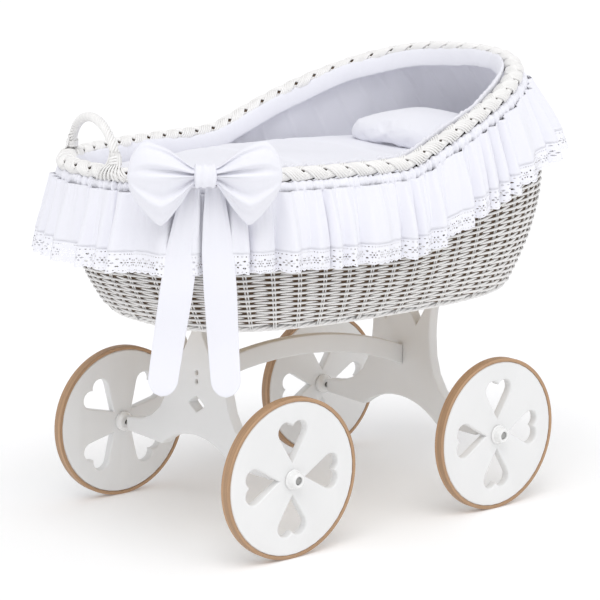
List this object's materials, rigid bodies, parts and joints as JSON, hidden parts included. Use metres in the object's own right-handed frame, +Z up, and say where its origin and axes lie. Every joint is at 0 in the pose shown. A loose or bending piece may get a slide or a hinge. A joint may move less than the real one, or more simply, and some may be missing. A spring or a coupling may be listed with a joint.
{
  "type": "bassinet on stand",
  "caption": "Oval wicker bassinet with a raised head end, bedding, pleated frill and ribbon bow, on hourglass wooden end panels with heart-pierced wheels.",
  "frame": {"origin": "on the floor, under the middle of the whole object's bounding box", "axes": "+Z up, +X from the low foot end to the raised head end, the bow on the -Y side"},
  "size_m": [1.0336, 0.6454, 0.8236],
  "materials": {
    "white_paint": "satin white paint on board",
    "gloss_paint": "gloss white paint on turned wood",
    "ash": "varnished bent-wood band with a visible grain",
    "birch": "bare birch",
    "wicker": "white-painted woven willow, dark in the gaps",
    "cotton": "soft white cotton with a faint cool tint",
    "lace": "white eyelet lace",
    "zinc": "zinc-plated steel"
  },
  "bodies": {
    "stand_and_basket": {"axle_bolt_near_foot": "zinc", "axle_insert_near_foot": "zinc", "axle_bolt_near_head": "zinc", "axle_insert_near_head": "zinc", "axle_bolt_far_foot": "zinc", "axle_insert_far_foot": "zinc", "axle_bolt_far_head": "zinc", "axle_insert_far_head": "zinc", "foot_panel": "white_paint", "stretcher_dowel_foot_lower": "birch", "stretcher_dowel_foot_upper": "birch", "basket_screw_near_foot": "zinc", "basket_screw_far_foot": "zinc", "head_panel": "white_paint", "stretcher_dowel_head_lower": "birch", "stretcher_dowel_head_upper": "birch", "basket_screw_near_head": "zinc", "basket_screw_far_head": "zinc", "stretcher": "white_paint", "floor_board": "birch", "foot_border": "wicker", "wicker_wall": "wicker", "rim_braid": "wicker", "handle": "wicker", "handle_lashing_near": "wicker", "handle_lashing_far": "wicker", "lining": "cotton", "mattress": "cotton", "coverlet": "cotton", "pillow": "cotton", "frill_casing": "cotton", "frill": "cotton", "lace_trim": "lace", "bow_knot": "cotton", "bow_loop_left": "cotton", "bow_tail_left": "cotton", "bow_loop_right": "cotton", "bow_tail_right": "cotton"},
    "wheel_near_foot": {"wheel_disc_near_foot": "white_paint", "wheel_tyre_near_foot": "ash", "hub_cap_near_foot": "gloss_paint", "hub_collar_near_foot": "gloss_paint"},
    "wheel_near_head": {"wheel_disc_near_head": "white_paint", "wheel_tyre_near_head": "ash", "hub_cap_near_head": "gloss_paint", "hub_collar_near_head": "gloss_paint"},
    "wheel_far_foot": {"wheel_disc_far_foot": "white_paint", "wheel_tyre_far_foot": "ash", "hub_cap_far_foot": "gloss_paint", "hub_collar_far_foot": "gloss_paint"},
    "wheel_far_head": {"wheel_disc_far_head": "white_paint", "wheel_tyre_far_head": "ash", "hub_cap_far_head": "gloss_paint", "hub_collar_far_head": "gloss_paint"}
  },
  "joints": [
    {"name": "wheel_spin_near_foot", "type": "hinge", "parent": "stand_and_basket", "child": "wheel_near_foot", "pos_m": [-0.23584, -0.247, 0.14], "axis": [0, 1, 0], "continuous": true},
    {"name": "wheel_spin_near_head", "type": "hinge", "parent": "stand_and_basket", "child": "wheel_near_head", "pos_m": [0.24616, -0.247, 0.14], "axis": [0, 1, 0], "continuous": true},
    {"name": "wheel_spin_far_foot", "type": "hinge", "parent": "stand_and_basket", "child": "wheel_far_foot", "pos_m": [-0.23584, 0.247, 0.14], "axis": [0, 1, 0], "continuous": true},
    {"name": "wheel_spin_far_head", "type": "hinge", "parent": "stand_and_basket", "child": "wheel_far_head", "pos_m": [0.24616, 0.247, 0.14], "axis": [0, 1, 0], "continuous": true}
  ]
}
